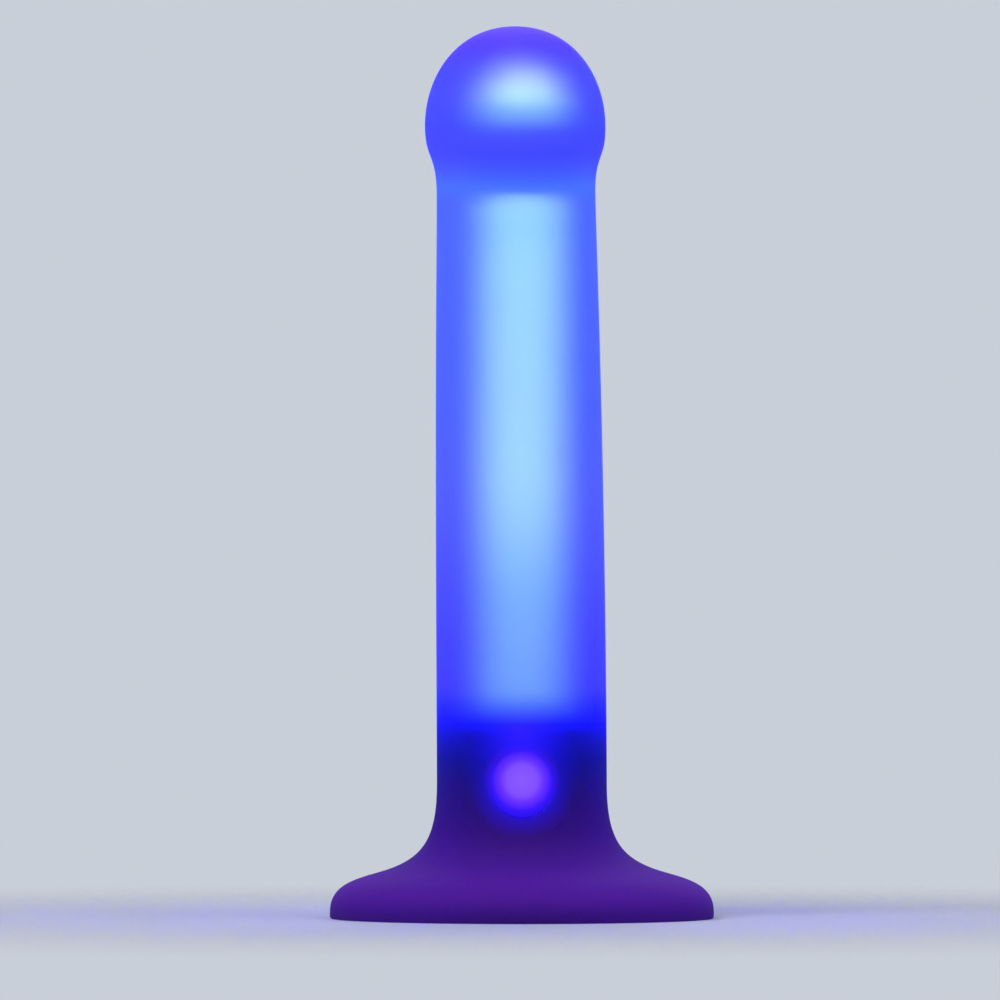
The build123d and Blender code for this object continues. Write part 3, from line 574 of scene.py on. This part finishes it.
def make_mottled(name, colours, roughness, scale, metallic=0.0, grain=0.0):
    """Two colours that drift in patches, scale of them to the metre, under a grain where one is given."""
    made, tree, where = material(name)
    noise = add(tree, "ShaderNodeTexNoise", {"Scale": scale, "Detail": 3.0}, {"Vector": where})
    colour = ramp(tree, noise.outputs[0], [(0.3, colours[0]), (0.7, colours[1])])
    body = surface(tree, {"Roughness": roughness, "Metallic": metallic}, {"Base Color": colour})
    if grain:
        fine = add(tree, "ShaderNodeTexNoise", {"Scale": grain_scale, "Detail": 2.0}, {"Vector": where})
        depth = {"Strength": grain, "Distance": grain_depth}
        bump = add(tree, "ShaderNodeBump", depth, {"Height": fine.outputs[0]})
        tree.links.new(bump.outputs[0], body.inputs["Normal"])
    return made


# Moulded black ABS: satin, with a fine even grain.
black_abs = make_mottled("moulded_black_abs", ("#0E0E12", "#15151A"), 0.55, 300.0, grain=0.3)
for node in ("housing_front", "housing_rear"):
    finish(node, black_abs)

# ---------------------------------------------------------------- screws
# Small zinc-plated steel self-tapping screws with pan heads and cross recesses: four up through the base
# cap, four across the housing and two down through the motor pod.

# Zinc plate on steel: bright, with a slightly blue cast.
zinc_steel = make_mottled("zinc_plated_steel", ("#A9ADB3", "#C3C6CA"), 0.32, 900.0, metallic=1.0)
for node in ("cap_screws", "housing_screws", "pod_screws"):
    finish(node, zinc_steel)

# ---------------------------------------------------------------- base cap and seal
# The cap is moulded in violet ABS to go with the silicone, with a fine eroded grain underneath. A thin ring
# of black nitrile rubber is squeezed between it and the housing.

# Moulded violet ABS: a little glossier than the housing, and more strongly grained.
finish("base_cap", make_mottled("moulded_violet_abs", ("#2E1460", "#361A6C"), 0.45, 250.0, grain=0.4))

# Moulded nitrile rubber: matt black.
finish("base_seal", make_mottled("black_nitrile_rubber", ("#0C0C0D", "#121213"), 0.8, 700.0))

# ---------------------------------------------------------------- charging contacts, springs and magnets
# Two turned brass pins, gold plated, show through the cap. Flat springs lead from them to the board, and a
# nickel plated magnet on each side holds the charging lead in place.

# Gold plate: warm and bright, on what carries the charging current.
gold = make_mottled("gold_plate", ("#D9AE55", "#E6C068"), 0.22, 1200.0, metallic=1.0)
for node in ("charge_contacts", "charge_springs", "link_pins"):
    finish(node, gold)

# Nickel plate: bright, and a little yellower than steel.
nickel = make_mottled("nickel_plate", ("#B9B5AA", "#CFCBC1"), 0.25, 1000.0, metallic=1.0)
for node in ("dock_magnets", "cell_tabs", "motor_terminals"):
    finish(node, nickel)

# ---------------------------------------------------------------- cell
# A lithium cell in a shrunk plastic sleeve, blue with a silver band round its positive end, under a pad of
# foam that keeps it from rattling.
cell_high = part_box("battery_cell")[1]
band_depth = 5.0 * mm
band_edge = 0.1 * mm

# Shrunk plastic film, a glossy blue, and above it the bare silver of the can.
wrap, tree, where = material("cell_wrap_and_end")
axes = add(tree, "ShaderNodeSeparateXYZ", links={0: where})
share = add(
    tree,
    "ShaderNodeMapRange",
    {"From Min": cell_high.z - band_depth - band_edge, "From Max": cell_high.z - band_depth},
    {"Value": axes.outputs["Z"]},
)
colour = ramp(tree, share.outputs[0], [(0, "#1C4E9E"), (1, "#B8BCC2")])
surface(tree, {"Roughness": 0.35}, {"Base Color": colour, "Metallic": share.outputs[0]})
finish("battery_cell", wrap)

# Open-cell foam: dead matt, and speckled by its pores.
finish("cell_foam_pad", make_mottled("black_open_cell_foam", ("#08080A", "#26262A"), 0.95, 2200.0))

# ---------------------------------------------------------------- circuit boards
# Glass-epoxy laminate with its woven grain showing through the solder mask: green for the control board,
# and white for the light strip and the head's round board, so that they throw the light outwards.

# The wave texture turns through 20 radians for each metre and unit of scale, so 600 is a thread every half
# millimetre, about that of the glass cloth in a thin board.
weave_scale = 600.0


def make_laminate(name, mask, weave):
    """Solder mask of one colour over a woven grain of another."""
    made, tree, where = material(name)
    threads = []
    for way in ("X", "Z"):
        settings = {"bands_direction": way, "Scale": weave_scale, "Distortion": 0.6}
        threads.append(add(tree, "ShaderNodeTexWave", settings, {"Vector": where}).outputs[1])
    crossed = add(tree, "ShaderNodeMath", {"operation": "MULTIPLY"}, {0: threads[0], 1: threads[1]})
    colour = ramp(tree, crossed.outputs[0], [(0, mask), (1, weave)])
    surface(tree, {"Roughness": 0.38}, {"Base Color": colour})
    return made


# Sprayed solder mask, green and white: satin, with the cloth faintly seen. The head's board lies flat, so
# only the threads that run one way show on it.
finish("control_board", make_laminate("green_laminate", "#0F5A34", "#17713F"))
white_laminate = make_laminate("white_laminate", "#E9EBE8", "#F4F5F2")
for node in ("led_strip_board", "head_led_board"):
    finish(node, white_laminate)

# Moulded black epoxy, matt; fired ceramic, tan; and moulded white nylon, a little satin.
finish("control_chips", make_mottled("black_epoxy_package", ("#111113", "#1C1C1F"), 0.6, 1500.0))
finish("control_passives", make_mottled("tan_chip_ceramic", ("#9A7E5C", "#B39772"), 0.5, 1400.0))
finish("wire_sockets", make_mottled("white_nylon", ("#E4E2DA", "#EDEBE4"), 0.5, 500.0))

# ---------------------------------------------------------------- switch and button plunger
# A 6 mm tact switch with a pressed steel cover and a black nylon actuator, and the clear polycarbonate
# plunger that presses it and carries the light of the four LEDs round it up to the silicone.

# Pressed steel: bright, off a polished tool.
pressed_steel = make_mottled("pressed_steel_cover", ("#A6A8AA", "#BEC0C2"), 0.3, 800.0, metallic=1.0)
finish("tact_switch_body", pressed_steel)

# Moulded black nylon: a little satin.
black_nylon = make_mottled("black_nylon", ("#121214", "#1A1A1D"), 0.5, 600.0)
for node in ("tact_switch_actuator", "strip_holder", "motor_end_cap"):
    finish(node, black_nylon)

# Moulded polycarbonate: clear, with a violet glow painted on it for the LEDs' light that it carries.
clear_plastic_painted_glow, tree, where = material("clear_polycarbonate")
noise = add(tree, "ShaderNodeTexNoise", {"Scale": 400.0}, {"Vector": where})
tint = ramp(tree, noise.outputs[0], [(0.3, "#E8DCFF"), (0.7, "#F2E9FF")])
settings = {"Roughness": 0.25, "IOR": 1.58, "Transmission Weight": 0.7, "Emission Strength": 0.6}
settings["Emission Color"] = linear("#8A5CFC")
surface(tree, settings, {"Base Color": tint})
finish("button_plunger", clear_plastic_painted_glow)

# ---------------------------------------------------------------- vibration motor
# A small brushed motor: a drawn steel can, a sintered bronze bush, a ground steel shaft and on it half a
# disc of sintered tungsten, whose spin off its centre shakes the body.

# Four metals: drawn steel with a soft sheen, oily bronze, ground steel, and dull grey tungsten.
for node, name, colours, roughness, scale in (
    ("motor_can", "drawn_steel_can", ("#9FA3A8", "#B7BABE"), 0.28, 700.0),
    ("motor_bush", "sintered_bronze", ("#8C6239", "#A87B4C"), 0.5, 1800.0),
    ("motor_shaft", "ground_steel", ("#BFC2C6", "#D2D4D8"), 0.18, 1200.0),
    ("eccentric_weight", "sintered_tungsten", ("#5C5B58", "#73716D"), 0.55, 1600.0),
):
    finish(node, make_mottled(name, colours, roughness, scale, metallic=1.0))

# ---------------------------------------------------------------- wires
# Stranded copper in red silicone rubber: two from the strip's sockets to the motor's terminals, and one up
# past the motor to the head's board.

# Extruded silicone rubber: red and satin.
red_rubber = make_mottled("red_wire_jacket", ("#8E1A1E", "#A32226"), 0.5, 900.0)
for node in ("motor_wires", "head_wire"):
    finish(node, red_rubber)

# ---------------------------------------------------------------- LED packages
# Each LED is a white plastic package with a yellow phosphor window in its face and a tinned terminal at
# each end. Nine stand down each face of the strip, four ring the button's switch, and five are on the
# head's board.
strip_low, strip_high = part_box("led_strip_board")
column_low, column_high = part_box("column_leds")
ring_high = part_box("button_leds")[1]
head_low, head_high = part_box("head_leds")
large = Vector((2.8, 3.5, 0.8)) * mm
small = Vector((1.6, 1.6, 0.7)) * mm
led_pitch = 11.0 * mm

# Sizes as shares of a package's own size.
body_height = 0.94
window_share = 0.7
window_height = 0.06
terminal_width = 0.8
terminal_size = 0.18
terminal_height = 0.5
terminal_middle = 0.27

# Moulded white polymer: satin, and very pale, to throw light.
package_white = make_mottled("white_led_package", ("#EFEFEA", "#F6F6F2"), 0.45, 900.0)

# Phosphor in clear gel: yellow and speckled, with the lit chip's cold white coming through.
phosphor, tree, where = material("yellow_phosphor")
specks = add(tree, "ShaderNodeTexNoise", {"Scale": 5000.0}, {"Vector": where})
colour = ramp(tree, specks.outputs[0], [(0.3, "#D8C23A"), (0.7, "#E8D65A")])
lit_face = {"Roughness": 0.4, "Emission Color": linear("#CFEFFF"), "Emission Strength": 4.0}
surface(tree, lit_face, {"Base Color": colour})

# Tin over copper: bright and white.
tinned = make_mottled("tinned_copper", ("#C6C7C4", "#D8D9D6"), 0.3, 900.0, metallic=1.0)


def make_led_tree():
    """A node group that sets LED packages out in a row or a ring, each facing up +Z turned by Face."""
    tree = bpy.data.node_groups.new("led_packages", "GeometryNodeTree")
    for name, kind in (
        ("Count", "NodeSocketInt"),
        ("Step", "NodeSocketVector"),
        ("Ring Radius", "NodeSocketFloat"),
        ("Ring", "NodeSocketBool"),
        ("Size", "NodeSocketVector"),
        ("Face", "NodeSocketVector"),
        ("Package", "NodeSocketMaterial"),
        ("Window", "NodeSocketMaterial"),
        ("Terminal", "NodeSocketMaterial"),
    ):
        tree.interface.new_socket(name, in_out="INPUT", socket_type=kind)
    tree.interface.new_socket("Geometry", in_out="OUTPUT", socket_type="NodeSocketGeometry")
    given = add(tree, "NodeGroupInput").outputs
    size = add(tree, "ShaderNodeSeparateXYZ", links={0: given["Size"]})

    def times(socket, by):
        """One of the package's sizes, times a share."""
        return add(tree, "ShaderNodeMath", {"operation": "MULTIPLY", 1: by}, {0: socket}).outputs[0]

    def scaled(shares):
        """All three of the package's sizes, each times its share."""
        links = {i: times(size.outputs[i], shares[i]) for i in range(3)}
        return add(tree, "ShaderNodeCombineXYZ", links=links)

    def block(shares, places, finish_with):
        """A box of these shares of the package's size, its middle at these shares, in one material."""
        sides = scaled(shares)
        place = scaled(places)
        box = add(tree, "GeometryNodeMeshCube", links={"Size": sides.outputs[0]})
        inputs = {"Geometry": box.outputs[0], "Translation": place.outputs[0]}
        moved = add(tree, "GeometryNodeTransform", links=inputs)
        inputs = {"Geometry": moved.outputs[0], "Material": given[finish_with]}
        return add(tree, "GeometryNodeSetMaterial", links=inputs)

    package = add(tree, "GeometryNodeJoinGeometry")
    inside = 1 - 2 * terminal_size
    window = (window_share, inside * window_share, window_height)
    terminal = (terminal_width, terminal_size, terminal_height)
    end = 0.5 - terminal_size / 2
    for piece in (
        block((1, inside, body_height), (0, 0, 0.5), "Package"),
        block(window, (0, 0, 1 - window_height / 2), "Window"),
        block(terminal, (0, end, terminal_middle), "Terminal"),
        block(terminal, (0, -end, terminal_middle), "Terminal"),
    ):
        tree.links.new(piece.outputs[0], package.inputs[0])
    row = add(tree, "GeometryNodeMeshLine", links={"Count": given["Count"], "Offset": given["Step"]})
    inputs = {"Vertices": given["Count"], "Radius": given["Ring Radius"]}
    circle = add(tree, "GeometryNodeMeshCircle", links=inputs)
    inputs = {"Geometry": circle.outputs[0], "Rotation": given["Face"]}
    turned = add(tree, "GeometryNodeTransform", links=inputs)
    places = add(
        tree,
        "GeometryNodeSwitch",
        {"input_type": "GEOMETRY"},
        {"Switch": given["Ring"], "False": row.outputs[0], "True": turned.outputs[0]},
    )
    copies = add(
        tree,
        "GeometryNodeInstanceOnPoints",
        links={"Points": places.outputs[0], "Instance": package.outputs[0], "Rotation": given["Face"]},
    )
    whole = add(tree, "GeometryNodeRealizeInstances", links={0: copies.outputs[0]})
    add(tree, "NodeGroupOutput", links={0: whole.outputs[0]})
    return tree


led_tree = make_led_tree()
sockets = {s.name: s.identifier for s in led_tree.interface.items_tree if s.in_out == "INPUT"}


def place_leds(name, origin, replaced, **inputs):
    """Makes one set of LED packages as a plain mesh, in place of a node of the part."""
    mesh = bpy.data.meshes.new(name)
    made = bpy.data.objects.new(name, mesh)
    bpy.context.scene.collection.objects.link(made)
    modifier = made.modifiers.new("led_packages", "NODES")
    modifier.node_group = led_tree
    settings = {"Package": package_white, "Window": phosphor, "Terminal": tinned, **inputs}
    for label, value in settings.items():
        modifier[sockets[label]] = value
    bpy.context.view_layer.update()
    graph = bpy.context.evaluated_depsgraph_get()
    built = bpy.data.meshes.new_from_object(made.evaluated_get(graph), depsgraph=graph)
    made.modifiers.clear()
    made.data = built
    bpy.data.meshes.remove(mesh)
    built.name = name
    built.transform(Matrix.Translation(origin))
    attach(made, "core")
    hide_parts(replaced)


forward = (math.radians(90), 0, 0)
backward = (math.radians(90), 0, math.radians(180))
upward = (0, 0, 0)
upward_across = (0, 0, math.radians(90))
led_count = round((column_high.z - column_low.z - large.y) / led_pitch) + 1
row = {"Count": led_count, "Step": (0, 0, led_pitch), "Size": large}
first = column_low.z + large.y / 2
place_leds("column_leds_front", Vector((0, strip_low.y, first)), "column_leds", Face=forward, **row)
place_leds("column_leds_rear", Vector((0, strip_high.y, first)), "column_leds", Face=backward, **row)
ring = {"Count": 4, "Ring": True, "Size": small}
ring["Ring Radius"] = ring_high.x - small.x / 2
place_leds("button_leds_ring", Vector((0, ring_high.y, button_z)), "button_leds", Face=forward, **ring)
ring["Ring Radius"] = head_high.x - small.x / 2
head_board = Vector((0, 0, head_low.z))
place_leds("head_leds_ring", head_board, "head_leds", Face=upward, **ring)
place_leds("head_led_middle", head_board, "head_leds", Face=upward_across, Count=1, Size=large)
